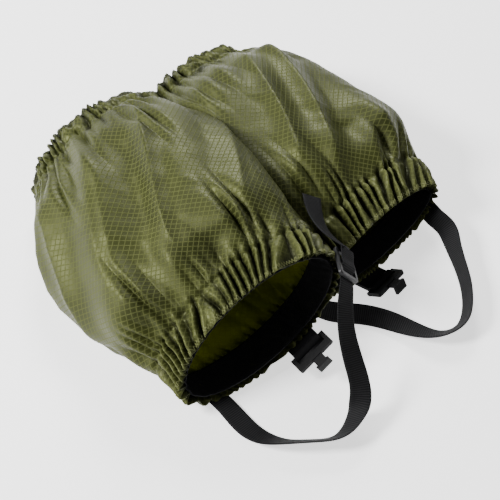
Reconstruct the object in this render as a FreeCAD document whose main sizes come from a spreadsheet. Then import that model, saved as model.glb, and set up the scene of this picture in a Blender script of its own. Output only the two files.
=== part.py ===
import FreeCAD, Part
import Sketcher
import math
import os

from FreeCAD import Placement, Rotation, Vector

# A pair of short hiking gaiters lying on a flat surface, the left one leaning on the right one.
# Leg tubes run along Y with their hems towards -Y. Millimetres throughout.

doc = FreeCAD.newDocument("gaiters")
sheet = doc.addObject("Spreadsheet::Sheet", "Sizes")

sizes = {
    # cloth and elastic, as depths below the outside of the tube
    "skin": 0.0,
    "cloth": 1.2,
    "elastic_top": 1.4,
    "elastic_base": 2.9,
    "channel_top": 0.8,
    "channel_base": 2.7,
    "cord_top": 1.0,
    "cord_base": 2.5,
    "casing_base": 3.5,
    "seam_top": 1.4,
    "seam_base": 2.4,
    # where the two gaiters lean on each other
    "lean_x": -28.0,
    "lean_rise": 75.0,
    "lean_run": 50.0,
    "lean_gap": 0.3,
    "room_top": 200.0,
    "room_reach": 400.0,
    # webbing
    "webbing_width": 16.0,
    "webbing_thick": 1.2,
    # slider buckle
    "buckle_width": 22.4,
    "buckle_length": 25.0,
    "buckle_thick": 3.0,
    "buckle_corner": 3.2,
    "buckle_bar": 3.0,
    "window_width": 16.6,
    "window_length": 7.5,
    "buckle_round": 0.7,
    # lace hook and its tab
    "hook_width": 33.0,
    "hook_bar_radius": 2.0,
    "cheek_width": 3.4,
    "cheek_length": 9.0,
    "plate_start": 6.0,
    "plate_length": 5.5,
    "plate_thick": 3.4,
    "tongue_width": 9.0,
    "tongue_length": 7.0,
    "tongue_thick": 2.4,
    "lip_width": 12.0,
    "lip_drop": 6.0,
    "tab_width": 25.0,
    "tab_lap": 12.0,
    "tab_thick": 2.8,
    "tab_gap": 0.5,
    "tab_clearance": 0.3,
    "tab_wrap": 1.4,
    "tack_width": 2.0,
    "tack_height": 0.6,
    # where the sewn pieces sit round each hem, as an angle from its right-hand end
    "left_tab_angle": 283.0,
    "left_tab_reach": 9.0,
    "left_hook_lift": 4.0,
    "left_root_angle": 221.0,
    "right_tab_angle": 249.0,
    "right_tab_reach": 12.5,
    "right_hook_lift": 24.0,
    "right_root_angle": 322.0,
}

# hem centre, heading and roll of each tube
lay = {
    "left": {"hem_x": -64.0, "hem_y": -88.0, "yaw": 0.0, "roll": 20.0},
    "right": {"hem_x": 72.5, "hem_y": -71.0, "yaw": 7.0, "roll": 5.0},
}

# each row is one cross-section: along the leg, sideways, height, half width, half height, tilt
stations = {
    "left": [
        (0.0, 0.0, 44.5, 75.0, 36.0, -20.0),
        (30.0, -1.0, 45.0, 78.0, 38.0, -12.0),
        (62.0, -5.0, 46.5, 86.0, 41.0, -5.0),
        (118.0, -5.0, 47.0, 92.0, 43.0, -5.0),
        (180.0, 1.0, 44.0, 84.0, 40.0, -12.0),
        (217.0, 7.0, 40.0, 67.0, 32.0, -20.0),
        (233.0, 8.0, 38.0, 61.0, 29.5, -22.0),
        (235.0, 8.0, 38.0, 60.0, 29.0, -22.0),
    ],
    "right": [
        (0.0, 0.0, 26.5, 67.0, 20.0, -20.0),
        (30.0, 0.0, 29.5, 78.0, 28.0, -12.0),
        (62.0, 0.0, 33.0, 88.0, 37.0, -5.0),
        (118.0, 0.0, 36.0, 94.0, 40.0, -5.0),
        (180.0, 0.0, 34.0, 85.0, 37.0, -12.0),
        (217.0, 5.0, 27.0, 67.0, 25.0, -20.0),
        (233.0, 6.0, 25.0, 62.0, 21.5, -22.0),
        (235.0, 6.0, 25.0, 61.0, 21.0, -22.0),
    ],
}
columns = ("along", "side", "height", "halfwidth", "halfheight", "tilt")

for side, rows in stations.items():
    for name, value in lay[side].items():
        sizes[f"{side}_{name}"] = value
    for number, row in enumerate(rows):
        for name, value in zip(columns, row):
            sizes[f"{side}_{name}_{number}"] = value

for row, (alias, value) in enumerate(sizes.items(), start=1):
    sheet.set(f"A{row}", alias)
    sheet.set(f"B{row}", str(value))
    sheet.setAlias(f"B{row}", alias)
doc.recompute()

parts = {}


def size(alias):
    return float(sheet.get(alias))


def keep(node, obj):
    """Names a finished sub-part."""
    obj.Label = node
    parts[node] = obj
    return obj


def wordOf(depth):
    return depth.replace("_", "")


# ---------------------------------------------------------------- leg tubes


def frameOf(origin, xAxis, yAxis):
    """A placement from an origin and two directions, the second made square to the first."""
    x = Vector(*xAxis).normalize()
    y = Vector(*yAxis)
    y = (y - x * y.dot(x)).normalize()
    z = x.cross(y)
    return Placement(Vector(*origin), Rotation(x, y, z, "ZXY"))


def section(side, number, depth):
    """One ellipse across the leg, that far below the outside of the tube."""
    name = f"{side}Section{number}{wordOf(depth)}"
    if doc.getObject(name):
        return doc.getObject(name)
    ellipse = doc.addObject("Part::Ellipse", name)
    ellipse.setExpression("MajorRadius", f"Sizes.{side}_halfwidth_{number} - Sizes.{depth}")
    ellipse.setExpression("MinorRadius", f"Sizes.{side}_halfheight_{number} - Sizes.{depth}")
    yaw = math.radians(size(f"{side}_yaw"))
    along = size(f"{side}_along_{number}")
    sideways = size(f"{side}_side_{number}")
    centre = Vector(
        size(f"{side}_hem_x") - along * math.sin(yaw) + sideways * math.cos(yaw),
        size(f"{side}_hem_y") + along * math.cos(yaw) + sideways * math.sin(yaw),
        size(f"{side}_height_{number}"),
    )
    turn = Rotation(Vector(0, 0, 1), size(f"{side}_yaw"))
    turn = turn * Rotation(Vector(0, 1, 0), -size(f"{side}_roll"))
    turn = turn * Rotation(Vector(1, 0, 0), 90 + size(f"{side}_tilt_{number}"))
    ellipse.Placement = Placement(centre, turn)
    return ellipse


def room(side, depth):
    """The space a layer at that depth may fill: above the ground and clear of the other gaiter."""
    name = f"{side}Room{wordOf(depth)}"
    if doc.getObject(name):
        return doc.getObject(name)
    low = size(depth)
    slope = size("lean_run") / size("lean_rise")
    away = (size("lean_gap") / 2 + low) * math.hypot(1, slope)
    reach = size("room_reach")
    if side == "left":
        away, reach = -away, -reach
    corners = []
    for height in (low, size("room_top")):
        corners.append(Vector(size("lean_x") + height * slope + away, -reach, height))
    corners.append(Vector(reach, -reach, size("room_top")))
    corners.append(Vector(reach, -reach, low))
    if side == "left":
        corners = [Vector(c.x, reach, c.z) for c in corners]
    outline = doc.addObject("Part::Polygon", name + "Outline")
    outline.Nodes = corners
    outline.Close = True
    block = doc.addObject("Part::Extrusion", name)
    block.Base = outline
    block.DirMode = "Custom"
    block.Dir = Vector(0, 1, 0)
    block.LengthFwd = 2 * abs(reach)
    block.Solid = True
    return block


def layer(side, numbers, depth):
    """The solid inside the tube's surface at that depth, lying on the ground."""
    name = f"{side}Layer{numbers[0]}{numbers[-1]}{wordOf(depth)}"
    if doc.getObject(name):
        return doc.getObject(name)
    loft = doc.addObject("Part::Loft", name + "Loft")
    loft.Sections = [section(side, number, depth) for number in numbers]
    loft.Solid = True
    loft.Ruled = len(numbers) == 2
    lying = doc.addObject("Part::Common", name)
    lying.Base = loft
    lying.Tool = room(side, depth)
    return lying


def sleeve(side, name, numbers, outer, inner):
    """A wall between two depths."""
    wall = doc.addObject("Part::Cut", f"{side}{name}")
    wall.Base = layer(side, numbers, outer)
    wall.Tool = layer(side, numbers, inner)
    return wall


def onHem(side, part, degrees, out=0.0):
    """A point on the hem's outside, part of the way from its edge to the shell, and the normal there."""
    angle = math.radians(degrees)
    spots = []
    normals = []
    for number in (0, 1):
        place = section(side, number, "skin").Placement
        wide = size(f"{side}_halfwidth_{number}")
        high = size(f"{side}_halfheight_{number}")
        spots.append(place.multVec(Vector(wide * math.cos(angle), high * math.sin(angle), 0)))
        square = Vector(high * math.cos(angle), wide * math.sin(angle), 0)
        normals.append(place.Rotation.multVec(square).normalize())
    generator = (spots[1] - spots[0]).normalize()
    normal = normals[0] * (1 - part) + normals[1] * part
    normal = (normal - generator * normal.dot(generator)).normalize()
    return spots[0] * (1 - part) + spots[1] * part + normal * out, normal


def hemLine(side, degrees, parts, out, leans):
    """Points for webbing that lies on the hem along the leg."""
    line = []
    for part, lean in zip(parts, leans):
        spot = onHem(side, part, degrees, out)[0]
        line.append((spot.x, spot.y, spot.z, lean))
    return line


def legTube(side):
    body = [1, 2, 3, 4, 5]
    keep(f"{side}_leg_shell", sleeve(side, "Shell", body, "skin", "cloth"))
    keep(f"{side}_hem_casing", sleeve(side, "HemCasing", [0, 1], "skin", "cloth"))
    keep(f"{side}_hem_elastic", sleeve(side, "HemElastic", [0, 1], "elastic_top", "elastic_base"))

    fold = sleeve(side, "CuffFold", [5, 6, 7], "skin", "casing_base")
    channel = sleeve(side, "CuffChannel", [5, 6], "channel_top", "channel_base")
    casing = doc.addObject("Part::Cut", f"{side}CuffCasing")
    casing.Base = fold
    casing.Tool = channel
    keep(f"{side}_cuff_casing", casing)
    keep(f"{side}_cuff_elastic", sleeve(side, "CuffElastic", [5, 6], "cord_top", "cord_base"))

    lining = sleeve(side, "Lining", body, "seam_top", "seam_base")
    band = doc.addObject("Part::Box", f"{side}SeamBand")
    band.Length = 60
    band.Width = 175
    band.Height = 10
    outward = -1 if side == "left" else 1
    middle = size(f"{side}_hem_x") + outward * 85
    low = 14 if side == "left" else 34
    band.Placement = Placement(Vector(middle - 30, -48, low), Rotation())
    seam = doc.addObject("Part::Common", f"{side}Seam")
    seam.Base = lining
    seam.Tool = band
    keep(f"{side}_seam_tape", seam)


# ---------------------------------------------------------------- webbing


def ribbonFrames(points, count):
    """Places along a smooth line through the points, with the webbing's lean at each."""
    curve = Part.BSplineCurve()
    curve.interpolate([Vector(*p[:3]) for p in points])
    marks = [curve.parameter(Vector(*p[:3])) for p in points]
    frames = []
    for step in range(count):
        at = marks[0] + (marks[-1] - marks[0]) * step / (count - 1)
        span = max(i for i in range(len(marks) - 1) if marks[i] <= at + 1e-9)
        part = (at - marks[span]) / (marks[span + 1] - marks[span])
        lean = points[span][3] * (1 - part) + points[span + 1][3] * part
        frames.append((curve.value(at), curve.tangent(at)[0], math.radians(lean)))
    return frames


def across(tangent, lean, outside):
    """The direction of the webbing's width: level, then leaned about the line it follows."""
    level = tangent.cross(Vector(0, 0, 1)).normalize() * outside
    up = tangent.cross(level).normalize()
    if up.z < 0:
        up = up * -1
    return (level * math.cos(lean) + up * math.sin(lean)).normalize()


def webbing(name, points, outside, count=22):
    """Flat webbing along a line, as a loft through its rectangular cross-sections."""
    half = size("webbing_width") / 2
    thick = size("webbing_thick") / 2
    wires = []
    for place, tangent, lean in ribbonFrames(points, count):
        wide = across(tangent, lean, outside) * half
        deep = wide.cross(tangent).normalize() * thick
        corners = [place + wide + deep, place - wide + deep, place - wide - deep, place + wide - deep]
        wires.append(Part.makePolygon(corners + corners[:1]))
    strap = doc.addObject("Part::Feature", name)
    strap.Shape = Part.makeLoft(wires, True, True)
    return strap


# ---------------------------------------------------------------- moulded pieces


def boxSketch(body, name, plane, rectangles, offset=None):
    """A sketch of level rectangles, each (left, bottom, width, height) in sheet expressions."""
    sketch = body.newObject("Sketcher::SketchObject", name)
    origin = next(f for f in body.Origin.OriginFeatures if f.Role == plane)
    sketch.AttachmentSupport = [(origin, "")]
    sketch.MapMode = "FlatFace"
    if offset is not None:
        sketch.AttachmentOffset = Placement(Vector(0, 0, offset), Rotation())
    for left, bottom, width, height in rectangles:
        first = sketch.GeometryCount
        spots = [Vector(0, 0, 0), Vector(5, 0, 0), Vector(5, 5, 0), Vector(0, 5, 0)]
        for corner in range(4):
            sketch.addGeometry(Part.LineSegment(spots[corner], spots[(corner + 1) % 4]), False)
        for corner in range(4):
            after = (corner + 1) % 4
            sketch.addConstraint(Sketcher.Constraint("Coincident", first + corner, 2, first + after, 1))
            level = "Horizontal" if corner % 2 == 0 else "Vertical"
            sketch.addConstraint(Sketcher.Constraint(level, first + corner))
        values = [
            ("DistanceX", (-1, 1, first, 1), left),
            ("DistanceY", (-1, 1, first, 1), bottom),
            ("DistanceX", (first, 1, first, 2), width),
            ("DistanceY", (first + 1, 1, first + 1, 2), height),
        ]
        for kind, ends, words in values:
            number = sketch.addConstraint(Sketcher.Constraint(kind, *ends, 1.0))
            sketch.setExpression(f"Constraints[{number}]", words)
    return sketch


def pad(body, name, sketch, length, middle=True):
    feature = body.newObject("PartDesign::Pad", name)
    feature.Profile = sketch
    feature.setExpression("Length", length)
    feature.Midplane = middle
    doc.recompute()
    return feature


def rounded(body, name, base, edges, radius):
    fillet = body.newObject("PartDesign::Fillet", name)
    fillet.Base = (base, edges)
    fillet.setExpression("Radius", radius)
    doc.recompute()
    return fillet


def edgesAlong(shape, direction):
    found = []
    for index, edge in enumerate(shape.Edges, start=1):
        run = edge.Vertexes[-1].Point - edge.Vertexes[0].Point
        if run.Length > 1e-6 and abs(run.normalize().dot(direction)) > 0.999:
            found.append(f"Edge{index}")
    return found


def sliderBuckle(side, placement):
    """A flat moulded frame with three bars and two windows for the webbing."""
    body = doc.addObject("PartDesign::Body", f"{side}Buckle")
    outline = [(
        "-Sizes.buckle_width / 2",
        "-Sizes.buckle_length / 2",
        "Sizes.buckle_width",
        "Sizes.buckle_length",
    )]
    frame = pad(body, f"{side}Frame", boxSketch(body, f"{side}FrameSketch", "XY_Plane", outline),
                "Sizes.buckle_thick")
    corners = edgesAlong(frame.Shape, Vector(0, 0, 1))
    cornered = rounded(body, f"{side}Corners", frame, corners, "Sizes.buckle_corner")
    window = ("-Sizes.window_width / 2", "Sizes.window_width", "Sizes.window_length")
    rows = ["Sizes.buckle_bar / 2", "-Sizes.buckle_bar / 2 - Sizes.window_length"]
    windows = [(window[0], row, window[1], window[2]) for row in rows]
    pocket = body.newObject("PartDesign::Pocket", f"{side}Windows")
    pocket.Profile = boxSketch(body, f"{side}WindowSketch", "XY_Plane", windows)
    pocket.Type = "ThroughAll"
    pocket.Midplane = True
    doc.recompute()
    bars = edgesAlong(pocket.Shape, Vector(1, 0, 0))
    rounded(body, f"{side}Bars", pocket, bars, "Sizes.buckle_round")
    body.Placement = placement
    return keep(f"{side}_buckle", body)


def laceHook(side, placement):
    """A rod in two cheeks, a front plate, and a tongue with a turned-down lip."""
    body = doc.addObject("PartDesign::Body", f"{side}Hook")
    halves = [
        ("-Sizes.hook_width / 2", "-Sizes.cheek_length", "Sizes.cheek_width", "Sizes.cheek_length"),
        ("Sizes.hook_width / 2 - Sizes.cheek_width", "-Sizes.cheek_length", "Sizes.cheek_width",
         "Sizes.cheek_length"),
    ]
    plate = [(
        "-Sizes.hook_width / 2",
        "-Sizes.plate_start - Sizes.plate_length",
        "Sizes.hook_width",
        "Sizes.plate_length",
    )]
    tongue = [(
        "-Sizes.tongue_width / 2",
        "-Sizes.plate_start - Sizes.plate_length - Sizes.tongue_length",
        "Sizes.tongue_width",
        "Sizes.tongue_length + 1",
    )]
    # the lip hangs below the tongue, drawn looking along the leg
    lip = [("-Sizes.lip_width / 2", "-Sizes.lip_drop", "Sizes.lip_width",
            "Sizes.lip_drop + Sizes.tongue_thick / 2")]
    plateFeature = pad(body, f"{side}Plate", boxSketch(body, f"{side}PlateSketch", "XY_Plane", plate),
                       "Sizes.plate_thick")
    rounded(body, f"{side}PlateCorners", plateFeature,
            edgesAlong(plateFeature.Shape, Vector(0, 0, 1)), "1.5")
    pad(body, f"{side}Cheeks", boxSketch(body, f"{side}CheekSketch", "XY_Plane", halves),
        "Sizes.plate_thick")
    pad(body, f"{side}Tongue", boxSketch(body, f"{side}TongueSketch", "XY_Plane", tongue),
        "Sizes.tongue_thick")
    front = size("plate_start") + size("plate_length") + size("tongue_length")
    # the XZ plane faces -Y, so a positive offset stands in front of the tongue
    pad(body, f"{side}Lip", boxSketch(body, f"{side}LipSketch", "XZ_Plane", lip, front),
        "Sizes.tongue_thick")
    sketch = body.newObject("Sketcher::SketchObject", f"{side}RodSketch")
    origin = next(f for f in body.Origin.OriginFeatures if f.Role == "YZ_Plane")
    sketch.AttachmentSupport = [(origin, "")]
    sketch.MapMode = "FlatFace"
    sketch.addGeometry(Part.Circle(Vector(0, 0, 0), Vector(0, 0, 1), 2.0), False)
    sketch.addConstraint(Sketcher.Constraint("Coincident", 0, 3, -1, 1))
    number = sketch.addConstraint(Sketcher.Constraint("Radius", 0, 2.0))
    sketch.setExpression(f"Constraints[{number}]", "Sizes.hook_bar_radius")
    pad(body, f"{side}Rod", sketch, "Sizes.hook_width")
    body.Placement = placement
    return keep(f"{side}_lace_hook", body)


def tabPlacement(side):
    """The rod's middle, with Y back along the hem's outside and Z into the cloth."""
    angle = size(f"{side}_tab_angle")
    edge, normal = onHem(side, 0, angle, size("tab_gap") + size("tab_thick") / 2)
    inside = onHem(side, 1, angle, size("tab_gap") + size("tab_thick") / 2)[0]
    back = (inside - edge).normalize()
    wide = back.cross(normal * -1)
    return frameOf(edge - back * size(f"{side}_tab_reach"), wide, back)


def laceTab(side, placement):
    """Doubled webbing whose folded end wraps the hook's rod."""
    wide = size("tab_width")
    strip = doc.addObject("Part::Box", f"{side}TabStrip")
    strip.setExpression("Length", "Sizes.tab_width")
    strip.setExpression("Width", f"Sizes.{side}_tab_reach + Sizes.tab_lap")
    strip.setExpression("Height", "Sizes.tab_thick")
    strip.Placement = Placement(Vector(-wide / 2, 0, -size("tab_thick") / 2), Rotation())
    alongX = Rotation(Vector(0, 1, 0), 90)
    wrap = doc.addObject("Part::Cylinder", f"{side}TabWrap")
    wrap.setExpression("Radius", "Sizes.hook_bar_radius + Sizes.tab_clearance + Sizes.tab_wrap")
    wrap.setExpression("Height", "Sizes.tab_width")
    wrap.Placement = Placement(Vector(-wide / 2, 0, 0), alongX)
    hole = doc.addObject("Part::Cylinder", f"{side}TabHole")
    hole.setExpression("Radius", "Sizes.hook_bar_radius + Sizes.tab_clearance")
    hole.setExpression("Height", "Sizes.tab_width")
    hole.Placement = wrap.Placement
    joined = doc.addObject("Part::Fuse", f"{side}TabJoined")
    joined.Base = strip
    joined.Tool = wrap
    tab = doc.addObject("Part::Cut", f"{side}Tab")
    tab.Base = joined
    tab.Tool = hole
    tab.Placement = placement
    keep(f"{side}_lace_tab", tab)

    # a dense row of stitches across the tab
    tack = doc.addObject("Part::Box", f"{side}Tack")
    tack.Length = wide - 3
    tack.setExpression("Width", "Sizes.tack_width")
    tack.setExpression("Height", "Sizes.tack_height")
    spot = Vector(-(wide - 3) / 2, size(f"{side}_tab_reach") - 5, -size("tab_thick") / 2)
    spot.z -= size("tack_height")
    tack.Placement = placement.multiply(Placement(spot, Rotation()))
    keep(f"{side}_tab_tack", tack)


def strapLead(side, path, placement):
    """Webbing woven through the buckle, from points (along the buckle, height over its middle)."""
    half = size("webbing_width") / 2
    thick = size("webbing_thick") / 2
    upper = []
    lower = []
    for before, here, after in zip(path[:1] + path, path, path[1:] + path[-1:]):
        run = Vector(0, after[0] - before[0], after[1] - before[1]).normalize()
        square = Vector(0, -run.z, run.y) * thick
        middle = Vector(-half, here[0], here[1])
        upper.append(middle + square)
        lower.append(middle - square)
    outline = doc.addObject("Part::Polygon", f"{side}LeadOutline")
    outline.Nodes = upper + lower[::-1]
    outline.Close = True
    lead = doc.addObject("Part::Extrusion", f"{side}Lead")
    lead.Base = outline
    lead.DirMode = "Custom"
    lead.Dir = Vector(1, 0, 0)
    lead.setExpression("LengthFwd", "Sizes.webbing_width")
    lead.Solid = True
    lead.Placement = placement
    keep(f"{side}_strap_lead", lead)


# the strap passes under the front bar, over the middle bar and out over the back bar
weavePath = [(-15.0, -1.6), (-12.0, -2.5), (-9.5, -2.5), (-5.5, 0.0)]
weavePath += [(-2.5, 2.4), (2.5, 2.4), (6.0, 3.6), (12.5, 4.3)]

# which way the webbing's raised edge faces, and how far it leans over as it leaves the hem
outside = {"left": 1, "right": -1}
rootLean = {"left": (11, 11, 10, 9), "right": (30, 30, 30, 29)}

buckles = {
    "left": frameOf((10.7, -93.7, 65.2), (0.564, -0.288, -0.769), (0.502, 0.864, 0.032)),
    "right": frameOf((-8.2, -72.0, 13.4), (0.57, 0.10, 0.82), (-0.42, 0.90, 0.12)),
}

# webbing lines: x, y, z and lean in degrees
loops = {
    "left": [
        (-109, -104.8, 3.2, 8),
        (-108.5, -119, 1.8, 3),
        (-106, -138, 3.5, 18),
        (-94, -156, 7, 48),
        (-81, -166, 7.5, 54),
        (-62.5, -176, 8.5, 50),
        (-44, -172, 12, 27),
        (-35, -166, 20, 2),
        (-26, -147, 35, -14),
        (-17, -127, 50, -32),
        (-2.7, -110, 60.7, -46),
    ],
    "right": [
        (125.6, -77, 19, 28),
        (127.6, -87, 15.5, 28),
        (123, -101, 11.5, 48),
        (116, -115, 9.5, 64),
        (103, -137, 8.6, 68),
        (90.5, -151, 8.6, 66),
        (72.5, -161, 8.5, 58),
        (55, -156, 7.5, 38),
        (45, -141.5, 5, 10),
        (35, -122.5, 5, -18),
        (20, -104, 6.5, -34),
        (2.4, -89, 9.5, -50),
    ],
}
tails = {
    "left": [(20.4, -79.6, 68.2, -46), (21.2, -62, 68.6, -30), (26.5, -44, 67, -10), (36, -26, 64.5, 0)],
    "right": [
        (-17.5, -59.5, 16.8, -54.9),
        (-19.4, -49.9, 14.4, -59.9),
        (-21.5, -39.9, 11.9, -68),
        (-23, -27.9, 9.9, -74.1),
    ],
}
anchors = {
    "left": [(13.7, -80.2, 63.2, -50), (11.3, -73.5, 63, -68), (10.6, -66, 63, -84), (10.9, -59, 63.2, -88)],
    "right": [
        (-12.8, -55.2, 15.8, -58),
        (-12.0, -54.0, 17.8, -64),
        (-11.3, -52.9, 20.0, -72),
        (-10.8, -51.2, 22, -80),
    ],
}

for side in ("left", "right"):
    legTube(side)
    sliderBuckle(side, buckles[side])
    tab = tabPlacement(side)
    tilt = Rotation(Vector(1, 0, 0), -size(f"{side}_hook_lift"))
    laceHook(side, Placement(tab.Base, tab.Rotation * tilt))
    laceTab(side, tab)
    root = hemLine(side, size(f"{side}_root_angle"), (0.5, 0.3, 0.1, -0.12), 0.8, rootLean[side])
    keep(f"{side}_strap_root", webbing(f"{side}StrapRoot", root, outside[side], 4))
    keep(f"{side}_stirrup_strap", webbing(f"{side}StirrupStrap", loops[side], outside[side], 34))
    strapLead(side, weavePath, buckles[side])
    keep(f"{side}_strap_tail", webbing(f"{side}StrapTail", tails[side], outside[side], 10))
    keep(f"{side}_buckle_anchor", webbing(f"{side}BuckleAnchor", anchors[side], outside[side], 8))

doc.recompute()

# ---------------------------------------------------------------- check and write

for obj in doc.Objects:
    if "Invalid" in obj.State or "Error" in obj.State:
        raise RuntimeError(f"{obj.Name} failed: {obj.State}")
for node, obj in parts.items():
    if obj.Shape.isNull() or not obj.Shape.isValid():
        raise RuntimeError(f"{node} has no valid shape")

# the loose box of a lofted face reaches past it, so the size is taken from its facets
whole = FreeCAD.BoundBox()
for obj in parts.values():
    for spot in obj.Shape.tessellate(0.1)[0]:
        whole.add(spot)
shift = Vector(-whole.Center.x, -whole.Center.y, -whole.ZMin)

os.makedirs("parts", exist_ok=True)
for node, obj in parts.items():
    shape = obj.Shape.copy()
    shape.translate(shift)
    shape.exportStep(f"parts/{node}.step")
print("shift", round(shift.x, 3), round(shift.y, 3), round(shift.z, 3))
print("size", round(whole.XLength, 1), round(whole.YLength, 1), round(whole.ZLength, 1))
for side in ("left", "right"):
    for name, place in (("buckle", buckles[side]), ("hook", parts[f"{side}_lace_hook"].Placement)):
        turns = [place.Rotation.multVec(way) for way in (Vector(1, 0, 0), Vector(0, 1, 0))]
        print(side, name, *[[round(v, 4) for v in item] for item in (place.Base + shift, *turns)])
print(len(parts), "nodes")
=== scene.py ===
import math

import bpy
import numpy as np
from mathutils import Matrix, Vector


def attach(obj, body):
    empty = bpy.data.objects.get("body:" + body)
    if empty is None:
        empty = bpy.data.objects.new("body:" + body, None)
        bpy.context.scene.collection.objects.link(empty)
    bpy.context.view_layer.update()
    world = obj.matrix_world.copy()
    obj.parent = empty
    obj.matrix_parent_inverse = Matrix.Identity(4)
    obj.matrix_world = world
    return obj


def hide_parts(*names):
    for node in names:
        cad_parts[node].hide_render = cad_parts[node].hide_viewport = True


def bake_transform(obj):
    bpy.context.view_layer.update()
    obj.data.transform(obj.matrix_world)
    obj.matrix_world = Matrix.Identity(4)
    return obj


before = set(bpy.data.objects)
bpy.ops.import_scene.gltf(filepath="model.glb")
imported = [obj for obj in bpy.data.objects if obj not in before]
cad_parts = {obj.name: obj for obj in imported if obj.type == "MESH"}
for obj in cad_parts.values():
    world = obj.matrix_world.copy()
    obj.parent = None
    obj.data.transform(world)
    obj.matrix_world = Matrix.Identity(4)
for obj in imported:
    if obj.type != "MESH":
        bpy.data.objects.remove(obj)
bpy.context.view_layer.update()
mm = 0.001
tau = 2 * math.pi

# where the drawing's own zero lies in the finished model, in millimetres
shift = np.array([1.747, 4.329, 0.0])


def makeObject(name, points, faces, materials, uv=None, slots=None):
    # closed surfaces: the enclosed volume's sign says which way the faces point
    first, second, third = points[faces[:, 0]], points[faces[:, 1]], points[faces[:, 2]]
    fourth = points[faces[:, 3]]
    middle = points.mean(axis=0)
    volume = np.einsum("ij,ij->i", first - middle, np.cross(second - middle, third - middle)).sum()
    volume += np.einsum("ij,ij->i", first - middle, np.cross(third - middle, fourth - middle)).sum()
    if volume < 0:
        faces = faces[:, ::-1]
        uv = None if uv is None else uv[:, ::-1]
    mesh = bpy.data.meshes.new(name)
    mesh.from_pydata(points.tolist(), [], faces.tolist())
    if uv is not None:
        layer = mesh.uv_layers.new(name="UVMap")
        layer.data.foreach_set("uv", uv.reshape(-1).astype(np.float32))
    for material in materials:
        mesh.materials.append(material)
    if slots is not None:
        mesh.polygons.foreach_set("material_index", slots.astype(np.int32))
    mesh.shade_smooth()
    piece = bpy.data.objects.new(name, mesh)
    bpy.context.scene.collection.objects.link(piece)
    return piece


def ringGrid(rows, cols):
    # quads of a surface closed both ways, as a ring of rings
    row, col = np.meshgrid(np.arange(rows), np.arange(cols), indexing="ij")
    nextRow, nextCol = (row + 1) % rows, (col + 1) % cols
    corners = [row * cols + col, row * cols + nextCol, nextRow * cols + nextCol, nextRow * cols + col]
    return np.stack(corners, axis=-1).reshape(-1, 4)


def ringUv(around, along):
    # per-corner coordinates of the same quads; the last column runs on instead of jumping back
    rows, cols = along.shape[0], around.shape[0] - 1
    below, above = along, np.roll(along, -1)
    u0, u1 = around[:-1], around[1:]
    grid = np.empty((rows, cols, 4, 2))
    grid[:, :, 0, 0], grid[:, :, 1, 0], grid[:, :, 2, 0], grid[:, :, 3, 0] = u0, u1, u1, u0
    grid[:, :, 0, 1] = grid[:, :, 1, 1] = below[:, None]
    grid[:, :, 2, 1] = grid[:, :, 3, 1] = above[:, None]
    return grid.reshape(-1, 4, 2)


def unit(vectors):
    # each vector divided by its own length
    return vectors / np.linalg.norm(vectors, axis=-1, keepdims=True)


def sweep(name, centres, wide, outline, material):
    # an outline (across, up) carried along a line and closed at both ends by shrinking to a point
    tangent = unit(np.gradient(centres, axis=0))
    wide = unit(wide - tangent * np.sum(wide * tangent, axis=1, keepdims=True))
    deep = np.cross(wide, tangent)
    outline = np.broadcast_to(outline, (len(centres),) + outline.shape[-2:])
    body = centres[:, None] + wide[:, None] * outline[:, :, :1] + deep[:, None] * outline[:, :, 1:]
    ends = [body[:1] * 0 + centres[0], body, body[-1:] * 0 + centres[-1]]
    points = np.concatenate(ends)
    rows, cols = points.shape[:2]
    faces = ringGrid(rows, cols).reshape(rows, cols, 4)[:-1]
    run = np.concatenate([[0], np.cumsum(np.linalg.norm(np.diff(centres, axis=0), axis=1))])
    run = np.concatenate([[run[0]], run, [run[-1]]])
    girth = np.append(outline[0][:, 0], outline[0][0, 0])
    uv = ringUv(girth, run).reshape(rows, cols, 4, 2)[:-1]
    return makeObject(name, points.reshape(-1, 3), faces.reshape(-1, 4), [material], uv.reshape(-1, 4, 2))


def naturalSpline(points, spacing):
    # the smoothest line through the points, sampled evenly; extra columns ride along with it
    knots = np.concatenate([[0], np.cumsum(np.linalg.norm(np.diff(points[:, :3], axis=0), axis=1))])
    gap = np.diff(knots)
    count = len(knots)
    system = np.eye(count)
    right = np.zeros((count, points.shape[1]))
    for i in range(1, count - 1):
        system[i, i - 1 : i + 2] = gap[i - 1], 2 * (gap[i - 1] + gap[i]), gap[i]
        right[i] = 6 * ((points[i + 1] - points[i]) / gap[i] - (points[i] - points[i - 1]) / gap[i - 1])
    bend = np.linalg.solve(system, right)
    at = np.linspace(0, knots[-1], max(8, int(knots[-1] / spacing)))
    span = np.clip(np.searchsorted(knots, at, side="right") - 1, 0, count - 2)
    h = gap[span][:, None]
    left = (knots[span + 1] - at)[:, None]
    after = (at - knots[span])[:, None]
    line = (bend[span] * left**3 + bend[span + 1] * after**3) / (6 * h)
    line += (points[span] / h - bend[span] * h / 6) * left
    line += (points[span + 1] / h - bend[span + 1] * h / 6) * after
    return line



class Link:
    # a shader socket that can be added, multiplied and compared
    def __init__(self, tree, out):
        self.tree = tree
        self.out = out

    def calc(self, operation, *others):
        return self.tree.node("Math", {"operation": operation}, dict(enumerate((self,) + others)))

    def __add__(self, other):
        return self.calc("ADD", other)

    def __radd__(self, other):
        return self.calc("ADD", other)

    def __sub__(self, other):
        return self.calc("SUBTRACT", other)

    def __rsub__(self, other):
        return (self * -1).calc("ADD", other)

    def __mul__(self, other):
        return self.calc("MULTIPLY", other)

    def __rmul__(self, other):
        return self.calc("MULTIPLY", other)

    def __truediv__(self, other):
        return self.calc("DIVIDE", other)

    def wave(self):
        # a triangle wave, 0 on whole numbers and 1 half way between them
        return self.calc("PINGPONG", 0.5) * 2

    def ramp(self, low, high):
        inputs = {"Value": self, "From Min": low, "From Max": high}
        return self.tree.node("MapRange", {"interpolation_type": "SMOOTHSTEP"}, inputs)


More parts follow.
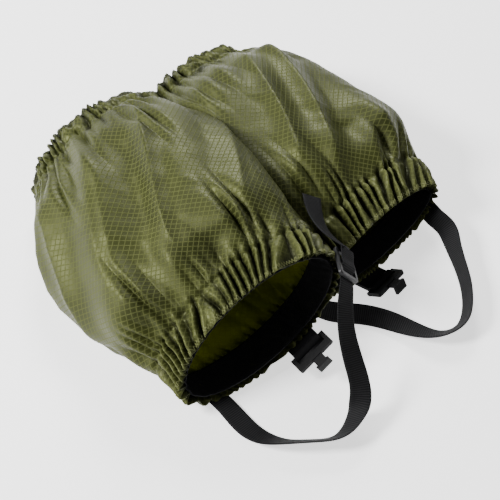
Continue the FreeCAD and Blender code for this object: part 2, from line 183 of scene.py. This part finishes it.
class Paint:
    # a new material and its node tree
    def __init__(self, name, **sockets):
        self.material = bpy.data.materials.new(name)
        self.material.use_nodes = True
        self.nodes = self.material.node_tree.nodes
        self.links = self.material.node_tree.links
        self.shader = self.nodes["Principled BSDF"]
        self.set(self.shader, {key.replace("_", " "): value for key, value in sockets.items()})

    def set(self, node, inputs):
        for key, value in inputs.items():
            if isinstance(value, Link):
                self.links.new(value.out, node.inputs[key])
            else:
                node.inputs[key].default_value = value

    def node(self, kind, settings=None, inputs=None, out=0):
        made = self.nodes.new("ShaderNode" + kind)
        for key, value in (settings or {}).items():
            setattr(made, key, value)
        self.set(made, inputs or {})
        return Link(self, made.outputs[out])

    def mix(self, part, first, second):
        made = self.nodes.new("ShaderNodeMix")
        made.data_type = "RGBA"
        for place, value in ((0, part), (6, first), (7, second)):
            if isinstance(value, Link):
                self.links.new(value.out, made.inputs[place])
            else:
                made.inputs[place].default_value = value
        return Link(self, made.outputs[2])

    def feed(self, **sockets):
        self.set(self.shader, {key.replace("_", " "): value for key, value in sockets.items()})
        return self.material


def colour(red, green, blue):
    return (red, green, blue, 1.0)


check = {
    "side": 6.2 * mm,  # pitch of the crossing threads round the leg
    "stretch": 0.8,  # their pitch along the leg, as a part of that
    "edge": 0.24,  # where a thread fades out, and where it is full
    "core": 0.06,
    "strength": 0.8,
    "matt": 0.45,  # how much rougher a thread is than the cloth
}
clothLook = {
    "cloth": colour(0.0225, 0.0262, 0.0050),
    "shade": colour(0.0130, 0.0154, 0.0030),
    "line": colour(0.078, 0.087, 0.026),
    "gloss": 0.45,
    "specular": 0.6,
    "coat": 0.0,
}
# the inner coating: partly its own yellow-green, partly painted light shining through the cloth, which makes
# it far brighter than the outside
litThroughLiningLook = {
    "cloth": colour(0.200, 0.235, 0.012),
    "shade": colour(0.16, 0.175, 0.015),
    "line": colour(0.17, 0.19, 0.02),
    "gloss": 0.5,
    "specular": 0.2,
    "coat": 0.05,
}
gatherLook = {
    "hollow": colour(0.0014, 0.0017, 0.0005),  # painted shade, deep in a pleat
    # how far the painted shade fills a pleat's hollow, and how far a painted highlight lightens its ridge
    "paintedShadePart": 0.95,
    "paintedHighlightPart": 0.4,
    "sheen": colour(0.60, 0.64, 0.30),  # tint of the shine
}


def checkedCloth(name, look):
    # two families of slanting threads, u/side + v/pitch and u/side - v/pitch, over a clouded base
    paint = Paint(
        name,
        Specular_IOR_Level=look["specular"],
        Specular_Tint=gatherLook["sheen"],
        Coat_Roughness=0.3,
    )
    flat = paint.node("UVMap", {"uv_map": "UVMap"})
    apart = paint.nodes.new("ShaderNodeSeparateXYZ")
    paint.links.new(flat.out, apart.inputs[0])
    u, v = Link(paint, apart.outputs[0]), Link(paint, apart.outputs[1])
    pitch = check["side"] * check["stretch"]
    rising = (u / check["side"] + v / pitch).wave()
    falling = (u / check["side"] - v / pitch).wave()
    edge, core = check["edge"], check["core"]
    threads = rising.ramp(edge, core).calc("MAXIMUM", falling.ramp(edge, core))
    place = paint.node("TexCoord", {}, {}, 3)
    cloud = paint.node("TexNoise", {}, {"Vector": place, "Scale": 26.0, "Detail": 3.0})
    creases = paint.node(
        "TexNoise", {}, {"Vector": place, "Scale": 150.0, "Detail": 5.0, "Roughness": 0.62}
    )
    fine = paint.node("TexNoise", {}, {"Vector": place, "Scale": 1400.0, "Detail": 2.0})
    body = paint.mix(cloud.ramp(0.3, 0.7), look["cloth"], look["shade"])
    body = paint.mix(threads * check["strength"], body, look["line"])
    # painted shade deep in the pleats of the gathered ends, and a painted highlight on their ridges
    paintedPleatLight = paint.node("Attribute", {"attribute_name": "paintedPleatLight"}, {}, 2)
    body = paint.mix(paintedPleatLight * gatherLook["paintedShadePart"], body, gatherLook["hollow"])
    body = paint.mix(paintedPleatLight * -gatherLook["paintedHighlightPart"], body, look["line"])
    height = threads * 0.5 + fine * 0.12
    grain = paint.node("Bump", {}, {"Strength": 0.6, "Distance": 0.3 * mm, "Height": height})
    bump = paint.node(
        "Bump", {}, {"Strength": 0.10, "Distance": 1.2 * mm, "Height": creases, "Normal": grain}
    )
    return paint.feed(
        Base_Color=body,
        Roughness=cloud * 0.1 + look["gloss"] + threads * check["matt"],
        Coat_Weight=(1 - threads) * look["coat"],
        Normal=bump,
    )


elasticLook = {
    "tint": colour(0.0022, 0.0022, 0.0025),
    "contrast": 4.5,  # how much lighter the ribs are
    "rough": 0.75,
    "pitch": 1.3 * mm,
    "strength": 0.8,
}
webbingLook = {
    "tint": colour(0.0026, 0.0026, 0.0028),
    "contrast": 10.0,
    "rough": 0.64,
    "pitch": 1.6 * mm,
    "strength": 1.0,
}


def blackWeave(name, look):
    # narrow ribs across the strip, from its own length, crossed by finer cords from its width
    tint, pitch = look["tint"], look["pitch"]
    paint = Paint(name, Specular_IOR_Level=0.14)
    place = paint.node("TexCoord", {}, {}, 3)
    noise = paint.node("TexNoise", {}, {"Vector": place, "Scale": 900.0, "Detail": 3.0})
    flat = paint.node("UVMap", {"uv_map": "UVMap"})
    apart = paint.nodes.new("ShaderNodeSeparateXYZ")
    paint.links.new(flat.out, apart.inputs[0])
    ribs = (Link(paint, apart.outputs[1]) / pitch).wave()
    cords = (Link(paint, apart.outputs[0]) / (pitch * 0.5)).wave()
    height = ribs * 0.8 + cords * ribs * 0.5 + noise * 0.35
    bump = paint.node("Bump", {}, {"Strength": look["strength"], "Distance": 0.3 * mm, "Height": height})
    light = colour(*[c * look["contrast"] for c in tint[:3]])
    body = paint.mix(ribs.ramp(0.35, 0.95) * (cords * 0.5 + 0.5) * 0.7 + noise * 0.2, tint, light)
    return paint.feed(Base_Color=body, Roughness=noise * 0.2 + look["rough"], Normal=bump)


plasticLook = {
    "tint": colour(0.0012, 0.0012, 0.0014),
    "rough": 0.46,
    "grain": 700.0,
    "strength": 0.25,
    "specular": 0.1,
}
buckleLook = {
    "tint": colour(0.0030, 0.0030, 0.0033),
    "rough": 0.36,
    "grain": 700.0,
    "strength": 0.25,
    "specular": 0.35,
}
threadLook = {
    "tint": colour(0.085, 0.092, 0.030),
    "rough": 0.55,
    "grain": 1500.0,
    "strength": 0.3,
    "specular": 0.3,
}
darkThreadLook = dict(threadLook, tint=colour(0.020, 0.022, 0.010), rough=0.6)


def grained(name, look):
    # one colour, mottled and dented by a fine noise
    tint = look["tint"]
    paint = Paint(name, Specular_IOR_Level=look["specular"])
    place = paint.node("TexCoord", {}, {}, 3)
    noise = paint.node("TexNoise", {}, {"Vector": place, "Scale": look["grain"], "Detail": 4.0})
    dent = {"Strength": look["strength"], "Distance": 0.15 * mm, "Height": noise}
    body = paint.mix(noise, tint, colour(*[c * 1.6 for c in tint[:3]]))
    bump = paint.node("Bump", {}, dent)
    return paint.feed(Base_Color=body, Roughness=noise * 0.15 + look["rough"], Normal=bump)


cloth = checkedCloth("OliveCloth", clothLook)
# the inner coating's colour carries painted light shining through the cloth
lining = checkedCloth("InnerCoatingLitThrough", litThroughLiningLook)
elastic = blackWeave("BlackElastic", elasticLook)
webbing = blackWeave("BlackWebbing", webbingLook)
plastic = grained("BlackPlastic", plasticLook)
bucklePlastic = grained("BucklePlastic", buckleLook)
thread = grained("OliveThread", threadLook)
darkThread = grained("DarkThread", darkThreadLook)
print("materials made")

# rows: along, sideways, height, half width, half height, tilt
tubes = {
    "left": {
        "hem": (-64.0, -88.0),
        "yaw": 0.0,
        "roll": 20.0,
        "seed": 11,
        "pleats": 46,
        "rows": [
            (0.0, 0.0, 44.5, 75.0, 36.0, -20.0),
            (30.0, -1.0, 45.0, 78.0, 38.0, -12.0),
            (62.0, -5.0, 46.5, 86.0, 41.0, -5.0),
            (118.0, -5.0, 47.0, 92.0, 43.0, -5.0),
            (180.0, 1.0, 44.0, 84.0, 40.0, -12.0),
            (217.0, 7.0, 40.0, 67.0, 32.0, -20.0),
            (235.0, 8.0, 38.0, 60.0, 29.0, -22.0),
        ],
    },
    "right": {
        "hem": (72.5, -71.0),
        "yaw": 7.0,
        "roll": 5.0,
        "seed": 29,
        "pleats": 43,
        "rows": [
            (0.0, 0.0, 26.5, 67.0, 20.0, -20.0),
            (30.0, 0.0, 29.5, 78.0, 28.0, -12.0),
            (62.0, 0.0, 33.0, 88.0, 37.0, -5.0),
            (118.0, 0.0, 36.0, 94.0, 40.0, -5.0),
            (180.0, 0.0, 34.0, 85.0, 37.0, -12.0),
            (217.0, 5.0, 27.0, 67.0, 25.0, -20.0),
            (235.0, 6.0, 25.0, 61.0, 21.0, -22.0),
        ],
    },
}
clothSize = {
    "length": 235.0,
    "wall": 1.1,  # doubled cloth at the casings
    "girth": 451.0,
    "hemRow": 27.0,  # stitched row that closes the hem casing
    "cuffRow": 219.0,
    "columns": 592,
    "lean": 0.055,  # how far round the leg the hem's pleats lean, as a part of a turn
    "leanLength": 48.0,
    # the sloping plane where the two gaiters meet
    "leanX": -28.0,
    "leanRise": 75.0,
    "leanRun": 50.0,
    "gap": 0.9,  # kept from that plane and from the ground
    "ease": 1.6,
}
# height of each kind of fold, in millimetres
foldSize = {
    "hemPleat": 7.6,
    "cuffPleat": 4.8,
    "cuffCrumple": 1.7,
    "hemGroove": 1.5,  # along the stitched rows
    "cuffGroove": 2.2,
    "second": 5.2,  # half as many, past the pleats
    "third": 6.5,  # a quarter as many, further on
    "slack": 9.0,
    "long": 4.6,
    "slant": 0.45,
    "crumple": 0.10,
    "endCrumple": 0.95,
    "hemWave": 0.9,  # of the free edges, along the leg
    "cuffWave": 2.2,
    "fewerAtCuff": 18,  # pleats
    "hemDrift": 0.8,
    "cuffDrift": 1.6,
}


def alongRows(side, s):
    # smooth curves through the rows, by their slopes at each row
    rows = np.array(tubes[side]["rows"])
    knots = rows[:, 0]
    slopes = np.gradient(rows, knots, axis=0)
    i = np.clip(np.searchsorted(knots, s, side="right") - 1, 0, len(knots) - 2)
    gap = knots[i + 1] - knots[i]
    t = np.clip((s - knots[i]) / gap, -0.2, 1.2)[..., None]
    gap = gap[..., None]
    blend = (2 * t**3 - 3 * t**2 + 1) * rows[i] + (t**3 - 2 * t**2 + t) * gap * slopes[i]
    return blend + (3 * t**2 - 2 * t**3) * rows[i + 1] + (t**3 - t**2) * gap * slopes[i + 1]


angles = np.linspace(0, tau, 2001)
girthSteps = np.hypot(np.diff(85 * np.cos(angles)), np.diff(38 * np.sin(angles)))
girth = np.concatenate([[0], np.cumsum(girthSteps)])
girth /= girth[-1]


def bareTube(side, a, s):
    # an ellipse across the leg, tilted back, rolled about the leg and turned to its heading
    a, s = np.broadcast_arrays(a, s)
    angle = np.interp(a % 1.0, girth, angles)
    row = alongRows(side, s)
    tube = tubes[side]
    tilt = np.radians(row[..., 5])
    x = row[..., 3] * np.cos(angle)
    y = -row[..., 4] * np.sin(angle) * np.sin(tilt)
    z = row[..., 4] * np.sin(angle) * np.cos(tilt)
    roll, yaw = math.radians(tube["roll"]), math.radians(tube["yaw"])
    x, z = x * math.cos(roll) - z * math.sin(roll), x * math.sin(roll) + z * math.cos(roll)
    x = x + row[..., 1]
    y = y + row[..., 0]
    return np.stack([
        tube["hem"][0] + x * math.cos(yaw) - y * math.sin(yaw),
        tube["hem"][1] + x * math.sin(yaw) + y * math.cos(yaw),
        row[..., 2] + z,
    ], axis=-1)


def softNoise(side, a, s, around, along, seed):
    # random heights on a lattice that closes round the leg, eased between its points
    rng = np.random.default_rng(tubes[side]["seed"] * 100 + seed)
    heights = rng.uniform(-1, 1, (64, around))
    x, y = (a % 1.0) * around, s / along + 8
    i, j = np.floor(x).astype(int), np.floor(y).astype(int)
    u, v = x - i, y - j
    u, v = u * u * (3 - 2 * u), v * v * (3 - 2 * v)
    near = heights[j % 64, i % around] * (1 - u) + heights[j % 64, (i + 1) % around] * u
    far = heights[(j + 1) % 64, i % around] * (1 - u) + heights[(j + 1) % 64, (i + 1) % around] * u
    return near * (1 - v) + far * v


def bell(s, middle, width):
    # 1 at the middle, falling away by exp(-x squared)
    return np.exp(-(((s - middle) / width) ** 2))


def step(s, low, high):
    # 0 below low, 1 above high, eased between them
    t = np.clip((s - low) / (high - low), 0, 1)
    return t * t * (3 - 2 * t)


def pleat(side, a, s, count, seed, drift):
    # rounded ridges with sharp valleys, unevenly spaced, wandering along the leg and leaning at the hem
    a = a + clothSize["lean"] * np.tanh(s / clothSize["leanLength"])
    rng = np.random.default_rng(tubes[side]["seed"] + seed)
    warp = sum(
        rng.uniform(0.3, 1.0) * np.sin(tau * (k * a + rng.uniform())) / k for k in range(1, 14)
    ) * 1.3 / count
    reach = 1300 / count  # broad folds wander more slowly than narrow ones
    warp = warp + softNoise(side, a, s, count // 2, reach, seed) * drift / count
    ridge = np.abs(np.sin(math.pi * count * (a + warp)))
    depth = 0.8 + 0.6 * softNoise(side, a, s, count, reach, seed + 1)
    return (ridge**1.15 - 0.6) * depth


def hemPleats(side, a, s):
    return pleat(side, a, s, tubes[side]["pleats"], 1, foldSize["hemDrift"])


def cuffPleats(side, a, s):
    count = tubes[side]["pleats"] - foldSize["fewerAtCuff"]
    return pleat(side, a, s, count, 2, foldSize["cuffDrift"])


def folds(side, a, s):
    # how far the cloth stands out from the bare tube: a sum of pleats and noise, each kept to its place
    a, s = np.broadcast_arrays(a, s)
    size = foldSize
    hem, cuff = clothSize["hemRow"], clothSize["cuffRow"]
    count = tubes[side]["pleats"]
    ragged = softNoise(side, a, s * 0, count, 10, 40) * 8
    resting = 1 - 0.6 * step(-np.sin(tau * a), -0.2, 0.6)  # the lower wall lies flatter
    hemPart = (1 - step(s, hem - 4, hem + 8 + ragged * 0.6)) * resting
    cuffPart = step(s, cuff - 16 + ragged, cuff + 3)
    pinch = 1 - 0.25 * bell(s, hem, 2.2) - 0.4 * bell(s, cuff, 2.2)
    out = hemPleats(side, a, s) * size["hemPleat"] * hemPart * pinch
    swell = 1 + 0.85 * softNoise(side, a, s, 13, 12, 41)
    out = out + cuffPleats(side, a, s) * size["cuffPleat"] * swell * cuffPart * pinch
    out = out + softNoise(side, a, s, 54, 5, 43) * size["cuffCrumple"] * cuffPart
    out = out - size["hemGroove"] * bell(s, hem, 2.2) - size["cuffGroove"] * bell(s, cuff, 2.6)
    # the pleats run together into fewer, broader folds
    second = bell(s, hem + 12, 13) + bell(s, cuff - 14, 13)
    out = out + pleat(side, a, s, count // 2, 3, 0.9) * size["second"] * second
    third = bell(s, hem + 34, 26) + bell(s, cuff - 34, 26)
    out = out + pleat(side, a, s, count // 4, 4, 0.9) * size["third"] * third
    # slack cloth between them
    middle = step(s, hem, hem + 45) * (1 - step(s, cuff - 45, cuff))
    out = out + softNoise(side, a + 0.0007 * s, s, 9, 110, 5) * size["slack"] * middle
    long = 1 - np.abs(softNoise(side, a + 0.0011 * s, s, 13, 120, 6)) * 2
    out = out + long * size["long"] * middle
    slant = 1 - np.abs(softNoise(side, a - 0.0017 * s, s, 26, 34, 7)) * 2
    out = out + slant * size["slant"] * (middle * 0.7 + 0.3)
    crumple = size["crumple"] + size["endCrumple"] * (hemPart + cuffPart)
    return out + softNoise(side, a, s, 80, 7, 8) * crumple


def valleys(side, a, s):
    # where light and shade are painted on the gathered ends: 1 for painted shade deep in their pleats, -1
    # for a painted highlight on their ridges, 0 on the slack cloth
    hem, cuff = clothSize["hemRow"], clothSize["cuffRow"]
    near = np.clip(0.16 - hemPleats(side, a, s) * 2.8, -1, 1) * (1 - step(s, hem - 2, hem + 9))
    far = np.clip(0.1 - cuffPleats(side, a, s) * 2.0, 0, 1) * step(s, cuff - 24, cuff - 4)
    second = np.clip(-0.2 - pleat(side, a, s, tubes[side]["pleats"] // 2, 3, 0.8) * 1.6, 0, 1)
    second = second * (bell(s, hem + 19, 15) + bell(s, cuff - 18, 14)) * 0.6
    return np.clip(near + far + second, -1, 1)


def above(value, low, soft):
    # never under low, and eased into it
    t = (value - low) / soft
    return low + soft * np.where(t > 20, t, np.log1p(np.exp(np.minimum(t, 20))))


# the hollow in the left gaiter over the strap end under it
dent = {
    "deep": 10.0,
    "y": -33,
    "yWidth": 26,
    "z": 19,
    "zWidth": 12,
}


def clothPoint(side, a, s, out=0.0, inside=0.0, slack=1.0):
    # the tube's point moved along its own normal, then laid on the ground and on the other gaiter
    a, s = np.broadcast_arrays(a, s)
    reach = 0.5
    spot = bareTube(side, a, s)
    round1 = bareTube(side, a + 0.002, s) - bareTube(side, a - 0.002, s)
    along = bareTube(side, a, s + reach) - bareTube(side, a, s - reach)
    normal = unit(np.cross(along, round1))
    spot = spot + normal * (folds(side, a, s) * slack + out)[..., None]
    # both free edges wave along the leg as well
    wave = hemPleats(side, a, s) * foldSize["hemWave"] * (1 - step(s, 0, 12))
    cuffEdge = step(s, clothSize["cuffRow"], clothSize["length"])
    wave = wave - softNoise(side, a, s, 36, 30, 42) * foldSize["cuffWave"] * cuffEdge
    spot = spot - unit(along) * wave[..., None] * slack
    gap, ease = clothSize["gap"], clothSize["ease"]
    low = gap + inside
    spot[..., 2] = above(spot[..., 2], low, ease)
    slope = clothSize["leanRun"] / clothSize["leanRise"]
    length = math.hypot(1, slope)
    apart = (spot[..., 0] - clothSize["leanX"] - spot[..., 2] * slope) / length
    sign = 1 if side == "right" else -1
    # the left gaiter leaves room for the strap end that lies under it
    overY = bell(spot[..., 1], dent["y"], dent["yWidth"])
    overZ = bell(spot[..., 2], dent["z"], dent["zWidth"])
    room = dent["deep"] * overY * overZ * (side == "left")
    moved = above(apart * sign, gap + inside + room, ease) * sign
    spot[..., 0] += (moved - apart) / length
    spot[..., 2] -= (moved - apart) * slope / length
    spot[..., 2] = np.maximum(spot[..., 2], low * 0.6)
    return (spot + shift) * mm


def clothRows():
    # along the leg, and depth below the outside:
    # out over the tube, round the cuff, back inside and round the hem
    length, wall = clothSize["length"], clothSize["wall"]
    outer = [np.linspace(0, 34, 26), np.linspace(36.5, 202, 62), np.linspace(204, length, 24)]
    inner = [np.linspace(length, 205, 14), np.linspace(202, 40, 26), np.linspace(37, 0, 12)]
    outer, inner = np.concatenate(outer), np.concatenate(inner)
    s = np.concatenate([outer, [length + 0.7] * 2, inner, [-0.7] * 2])
    deep = wall + 1.4 * step(inner, 30, 50) * step(length - inner, 25, 45)
    near, far = wall * 0.25, wall * 0.75
    depth = np.concatenate([outer * 0, [near, far], deep, [far, near]])
    # the lining stops short of both gathered ends
    inside = np.concatenate([outer * 0, [0, 0], (inner > 22) & (inner < 198), [0, 0]])
    return s, depth, inside


def ringPiece(name, side, s, depth, materials, slots=None, slack=1.0):
    columns = clothSize["columns"]
    a = np.arange(columns) / columns
    points = clothPoint(side, a[None], s[:, None], -depth[:, None], depth[:, None], slack)
    faces = ringGrid(len(s), columns)
    cells = round(clothSize["girth"] * mm / check["side"])
    around = np.arange(columns + 1) / columns * cells * check["side"]
    uv = ringUv(around, s * mm)
    if slots is not None:
        slots = np.repeat(slots, columns)
    piece = makeObject(name, points.reshape(-1, 3), faces, materials, uv, slots)
    # painted shade and painted highlight of the pleats, kept on the points for the cloth's colour
    shade = piece.data.attributes.new("paintedPleatLight", "FLOAT", "POINT")
    shade.data.foreach_set("value", valleys(side, a[None], s[:, None]).reshape(-1).astype(np.float32))
    return piece


def legCloth(side):
    s, depth, inside = clothRows()
    return ringPiece(f"{side}_cloth_tube", side, s, depth, [cloth, lining], inside)


def innerBand(side):
    # the elastic band that shows inside the hem
    run = np.linspace(0.6, 24, 16)
    s = np.concatenate([run, run[::-1]])
    depth = np.concatenate([run * 0 + 5.6, run * 0 + 6.7])
    return ringPiece(f"{side}_hem_band", side, s, depth, [elastic], slack=0.12)


def seamTape(side):
    # inside the lining, along the tube's closing seam
    place = 0.5 if side == "left" else 0.0
    run = np.linspace(34, 205, 60)
    deep = clothSize["wall"] + 0.6
    middle = clothPoint(side, np.full(60, place), run, -deep, deep)
    beside = clothPoint(side, np.full(60, place + 0.004), run, -deep, deep)
    half, thick = 3.0 * mm, 0.35 * mm
    lower = [(-half, -thick), (0, -thick), (half, -thick)]
    upper = [(half, thick), (0, thick), (-half, thick)]
    outline = np.array(lower + upper)
    return sweep(f"{side}_seam_tape_strip", middle, beside - middle, outline, lining)


# the rows of overlock stitches along both free edges
hemStitch = {"low": 0.2, "high": 3.4, "turns": 150, "radius": 0.32 * mm}
cuffStitch = {"low": 231.2, "high": 234.9, "turns": 130, "radius": 0.38 * mm}


def zigzag(name, side, stitch, material):
    # thread crossing back and forth over the edge, lying on the cloth
    low, high, turns, radius = stitch["low"], stitch["high"], stitch["turns"], stitch["radius"]
    steps = 4
    count = turns * 2 * steps
    k = np.arange(count)
    swing = np.abs(((k / steps) % 2) - 1)
    s = low + (high - low) * swing
    a = k / count
    centres = clothPoint(side, a, s, radius / mm * 0.7)
    up = clothPoint(side, a, s, 2.0) - clothPoint(side, a, s)
    ahead = unit(np.roll(centres, -1, axis=0) - np.roll(centres, 1, axis=0))
    across = unit(np.cross(ahead, up))
    up = np.cross(across, ahead)
    turn = np.arange(5) / 5 * tau
    ring = across[:, None] * np.cos(turn)[None, :, None] + up[:, None] * np.sin(turn)[None, :, None]
    points = centres[:, None] + ring * radius
    return makeObject(name, points.reshape(-1, 3), ringGrid(count, 5), [material])


for side in ("right", "left"):
    body = f"{side}_gaiter"
    tube = legCloth(side)
    band = innerBand(side)
    tape = seamTape(side)
    hemThread = zigzag(f"{side}_hem_overlock", side, hemStitch, thread)
    cuffThread = zigzag(f"{side}_cuff_overlock", side, cuffStitch, darkThread)
    for piece in (tube, band, tape, hemThread, cuffThread):
        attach(piece, body)
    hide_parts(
        f"{side}_leg_shell", f"{side}_hem_casing", f"{side}_cuff_casing", f"{side}_cuff_elastic"
    )
    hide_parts(f"{side}_hem_elastic")
    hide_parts(f"{side}_seam_tape")
    print(side, "tube made")

straps = {
    "width": 16.0,
    "thick": 1.2,
    "spacing": 0.32,
    "rib": 1.6,  # pitch of the crosswise ribs
    "ribDepth": 0.16,
}
buckles = {
    "left": ((12.4467, -89.3733, 65.2), (0.5662, -0.2891, -0.7719), (0.4966, 0.8671, 0.0395)),
    "right": ((-6.4533, -67.6733, 13.4), (0.5679, 0.0996, 0.817), (-0.3915, 0.9059, 0.1617)),
}
# x, y, z and lean in degrees
loops = {
    "left": [
        (-110.6, -80, 3.1, 11),
        (-110, -90, 3.3, 10),
        (-109.4, -98, 3.4, 9),
        (-109, -104.8, 3.2, 8),
        (-108.5, -119, 1.8, 3),
        (-106, -138, 3.5, 18),
        (-94, -156, 7, 48),
        (-81, -166, 7.5, 54),
        (-62.5, -176, 8.5, 50),
        (-44, -172, 12, 27),
        (-35, -166, 20, 2),
        (-26, -147, 35, -14),
        (-17, -127, 50, -32),
        (-2.7, -110, 60.7, -46),
    ],
    "right": [
        (128.6, -53, 18.6, 30),
        (127.4, -62, 18.9, 30),
        (126.2, -71, 19.1, 29),
        (125.6, -77, 19, 28),
        (127.6, -87, 15.5, 28),
        (123, -101, 11.5, 48),
        (116, -115, 9.5, 64),
        (103, -137, 8.6, 68),
        (90.5, -151, 8.6, 66),
        (72.5, -161, 8.5, 58),
        (55, -156, 7.5, 38),
        (45, -141.5, 5, 10),
        (35, -122.5, 5, -18),
        (20, -104, 6.5, -34),
        (2.4, -89, 9.5, -50),
    ],
}
tails = {
    "left": [(20.4, -79.6, 68.2, -46), (17.6, -63, 69.2, -48), (23.5, -44, 68, -36), (34.5, -27, 65.5, -24)],
    "right": [
        (-17.5, -59.5, 16.8, -54.9),
        (-19.4, -49.9, 14.4, -59.9),
        (-21.5, -39.9, 11.9, -68),
        (-23, -27.9, 9.9, -74.1),
    ],
}
# along the buckle, and height over its middle
weave = [(-12.0, -2.5), (-9.5, -2.5), (-5.5, 0.0), (-2.5, 2.6), (2.5, 2.6), (7.0, 3.4), (12.5, 4.3)]
outside = {"left": 1, "right": -1}


def leaning(points, side):
    # the webbing's width: level across its line, then leaned about it
    ahead = unit(np.gradient(points[:, :3], axis=0))
    level = unit(np.cross(ahead, (0, 0, 1))) * outside[side]
    up = np.cross(ahead, level)
    up = up * np.where(up[:, 2:] < 0, -1, 1)
    lean = np.radians(points[:, 3:4])
    return level * np.cos(lean) + up * np.sin(lean)


def webbingOutline(run, squareEnd):
    # a flat strip with rounded selvedges; its faces rise and fall in ribs along the run
    half, thick = straps["width"] / 2, straps["thick"] / 2
    across = np.concatenate([np.linspace(-1, 1, 11), [1.0], np.linspace(1, -1, 11), [-1.0]])
    face = np.concatenate([np.ones(11), [0], -np.ones(11), [0]])
    edge = np.abs(across) > 0.97
    x = across * half * np.where(edge & (face != 0), 0.965, 1.0)
    rib = np.cos(run / straps["rib"] * tau)[:, None] * straps["ribDepth"]
    crown = np.where(edge, 0.62, 1.0)
    y = face * (thick * crown + rib * np.where(np.abs(across) > 0.85, 0.15, 1.0))
    outline = np.stack([np.broadcast_to(x, y.shape), y], axis=-1)
    if squareEnd:
        outline = outline * np.clip((run[-1] + 0.15 - run) / 0.3, 0.3, 1)[:, None, None] ** [0, 1]
    return outline * mm


def strip(name, points, wide, squareEnd=False):
    line = naturalSpline(np.hstack([points, wide]), straps["spacing"])
    run = np.concatenate([[0], np.cumsum(np.linalg.norm(np.diff(line[:, :3], axis=0), axis=1))])
    outline = webbingOutline(run, squareEnd)
    return sweep(name, (line[:, :3]) * mm, line[:, 3:6], outline, webbing)


for side in ("left", "right"):
    origin, across, back = (np.array(v) for v in buckles[side])
    face = np.cross(across, back)
    path = np.array(loops[side], float)
    wide = leaning(path, side)
    path = path[:, :3] + shift
    through = np.array([origin + back * y + face * z for y, z in weave])
    sign = np.sign(wide[-1] @ across)
    points = np.vstack([path, through])
    wides = np.vstack([wide, np.tile(across * sign, (len(weave), 1))])
    loop = strip(f"{side}_stirrup_webbing", points, wides)
    tailPath = np.array(tails[side], float)
    tailWide = leaning(tailPath, side)
    tailPath = tailPath[:, :3] + shift
    start = origin + back * 13.2 + face * 4.3
    tail = strip(
        f"{side}_webbing_tail",
        np.vstack([start, tailPath[1:]]),
        np.vstack([across * np.sign(tailWide[0] @ across), tailWide[1:]]),
        True,
    )
    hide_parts(f"{side}_strap_root", f"{side}_stirrup_strap", f"{side}_strap_lead")
    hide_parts(f"{side}_strap_tail")
    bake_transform(loop)
    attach(tail, f"{side}_tail")
    print(side, "webbing made")

# origin, across and back of each hook, in the finished model
hooks = {
    "left": ((-34.4738, -104.7786, 18.2104), (0.8949, 0.0109, 0.4462), (0.0527, 0.9901, -0.1298)),
    "right": ((55.5125, -88.0850, 7.1727), (0.9748, 0.2127, -0.0672), (-0.2137, 0.8044, -0.5543)),
}
slot = {"half": 13.2, "from": -0.6, "to": -6.4, "thick": 0.9}
for side in ("left", "right"):
    origin, across, back = (np.array(v) for v in hooks[side])
    run = np.linspace(slot["from"], slot["to"], 12)
    half, thick = slot["half"], slot["thick"]
    outline = np.array([(-half, 0), (-half + 0.6, -thick), (half - 0.6, -thick), (half, 0),
                        (half - 0.6, thick), (-half + 0.6, thick)]) * mm
    filler = sweep(f"{side}_slot_filler", (origin + back * run[:, None]) * mm, np.tile(across, (12, 1)),
                   outline, plastic)
    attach(filler, f"{side}_hook")

finishes = {
    "buckle": bucklePlastic,
    "lace_hook": plastic,
    "lace_tab": elastic,
    "tab_tack": darkThread,
    "buckle_anchor": elastic,
}
for side in ("left", "right"):
    for word, material in finishes.items():
        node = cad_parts[f"{side}_{word}"]
        for place in node.material_slots:
            place.material = material

view = {
    "azimuth": -38.5,
    "elevation": 51.5,
    "distance": 0.920,
    "target": (-16.253 * mm, -12.673 * mm, 30 * mm),
    "lens": 85.0,
}

bpy.ops.mesh.primitive_plane_add(size=60, location=(0, 0, 0))
ground = bpy.context.object
ground.name = "ground"
paper = Paint("Paper", Base_Color=colour(0.9, 0.9, 0.9), Roughness=0.9,
              Emission_Color=colour(1, 1, 1), Emission_Strength=1.3)
ground.data.materials.append(paper.material)

world = bpy.data.worlds.new("Studio")
bpy.context.scene.world = world
world.use_nodes = True
world.node_tree.nodes["Background"].inputs[0].default_value = (1, 1, 1, 1)
world.node_tree.nodes["Background"].inputs[1].default_value = 0.13

lamps = {
    "key": {"at": (-1.05, 0.55, 1.0), "size": 0.4, "power": 50},
    "fill": {"at": (0.8, -1.3, 1.0), "size": 0.9, "power": 6},
    "rim": {"at": (0.75, 1.1, 1.0), "size": 0.5, "power": 28},
}
for name, lamp in lamps.items():
    data = bpy.data.lights.new(name, "AREA")
    data.size = lamp["size"]
    data.energy = lamp["power"]
    light = bpy.data.objects.new(name, data)
    light.location = lamp["at"]
    aim = Vector((0, 0, 0.04)) - light.location
    light.rotation_euler = aim.to_track_quat("-Z", "Y").to_euler()
    bpy.context.scene.collection.objects.link(light)

turn, rise = math.radians(view["azimuth"]), math.radians(view["elevation"])
back = Vector((math.sin(turn) * math.cos(rise), -math.cos(turn) * math.cos(rise), math.sin(rise)))
right = Vector((math.cos(turn), math.sin(turn), 0))
up = back.cross(right)
cameraData = bpy.data.cameras.new("camera")
cameraData.lens = view["lens"]
camera = bpy.data.objects.new("camera", cameraData)
bpy.context.scene.collection.objects.link(camera)
spot = Vector(view["target"]) + back * view["distance"]
camera.matrix_world = Matrix.Translation(spot) @ Matrix((right, up, back)).transposed().to_4x4()
bpy.context.scene.camera = camera

bpy.context.view_layer.update()
